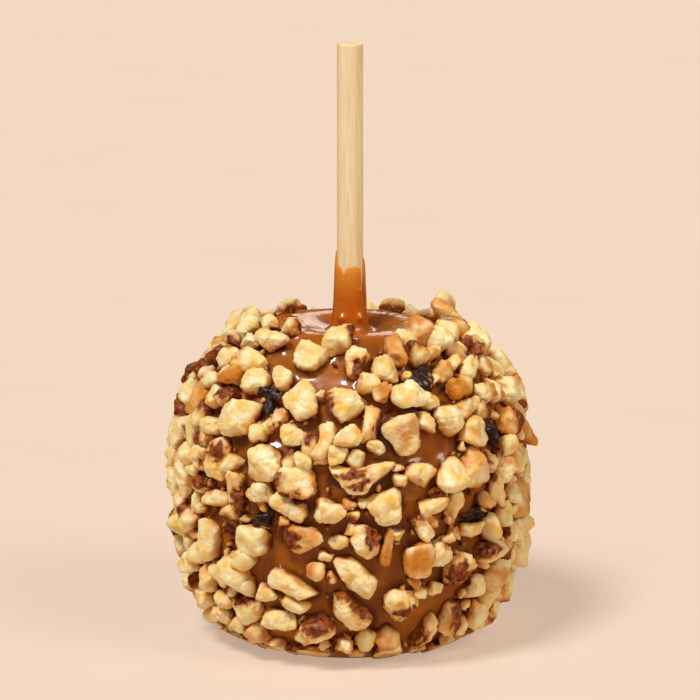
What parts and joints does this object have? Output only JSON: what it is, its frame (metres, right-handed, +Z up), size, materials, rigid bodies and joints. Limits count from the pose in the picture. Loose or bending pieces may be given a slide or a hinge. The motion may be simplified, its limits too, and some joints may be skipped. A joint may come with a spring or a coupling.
{
  "type": "caramel apple",
  "caption": "Whole apple dipped in caramel and rolled in chopped walnuts, standing on its flattened foot with a round wooden stick upright in its top.",
  "frame": {"origin": "centre of the flat foot that the apple stands on", "axes": "+Z up along the stick, -Y toward the shown front, +X to the viewer's right"},
  "size_m": [0.0914, 0.0886, 0.146],
  "materials": {
    "caramel": "opaque soft caramel, glossy, brown with orange where it is thin",
    "stick_wood": "pale birch dowel, straight fine grain, unvarnished",
    "kernel_pale": "broken walnut kernel, cream to straw, rough with a faint oily sheen",
    "kernel_toasted": "broken walnut kernel, toasted tan",
    "kernel_skin": "walnut kernel with its ridged orange-brown skin and pale broken rims",
    "kernel_dark": "dark papery walnut skin, slightly glossy"
  },
  "bodies": {
    "root": {"coated_apple": "caramel", "stick": "stick_wood", "walnut_01": "kernel_pale", "walnut_02": "kernel_skin", "walnut_03": "kernel_pale", "walnut_04": "kernel_pale", "walnut_05": "kernel_skin", "walnut_06": "kernel_pale", "walnut_07": "kernel_pale", "walnut_08": "kernel_pale", "walnut_09": "kernel_toasted", "walnut_10": "kernel_pale", "walnut_11": "kernel_pale", "walnut_12": "kernel_pale", "walnut_13": "kernel_pale", "walnut_14": "kernel_toasted", "walnut_15": "kernel_pale", "walnut_16": "kernel_toasted", "walnut_17": "kernel_pale", "walnut_18": "kernel_pale", "walnut_19": "kernel_pale", "walnut_20": "kernel_skin", "walnut_21": "kernel_pale", "walnut_22": "kernel_pale", "walnut_23": "kernel_pale", "walnut_24": "kernel_pale", "walnut_25": "kernel_pale", "walnut_26": "kernel_pale", "walnut_27": "kernel_toasted", "walnut_28": "kernel_pale", "walnut_29": "kernel_pale", "walnut_30": "kernel_toasted", "walnut_31": "kernel_pale", "walnut_32": "kernel_toasted", "walnut_33": "kernel_pale", "walnut_34": "kernel_pale", "walnut_35": "kernel_toasted", "walnut_36": "kernel_pale", "walnut_37": "kernel_pale", "walnut_38": "kernel_pale", "walnut_39": "kernel_pale", "walnut_40": "kernel_pale", "walnut_41": "kernel_toasted", "walnut_42": "kernel_pale", "walnut_43": "kernel_toasted", "walnut_44": "kernel_skin", "walnut_45": "kernel_toasted", "walnut_46": "kernel_skin", "walnut_47": "kernel_pale", "walnut_48": "kernel_pale", "walnut_49": "kernel_skin", "walnut_50": "kernel_pale", "walnut_51": "kernel_pale", "walnut_52": "kernel_pale", "walnut_53": "kernel_pale", "walnut_54": "kernel_toasted", "walnut_55": "kernel_pale", "walnut_56": "kernel_toasted"}
  },
  "joints": []
}
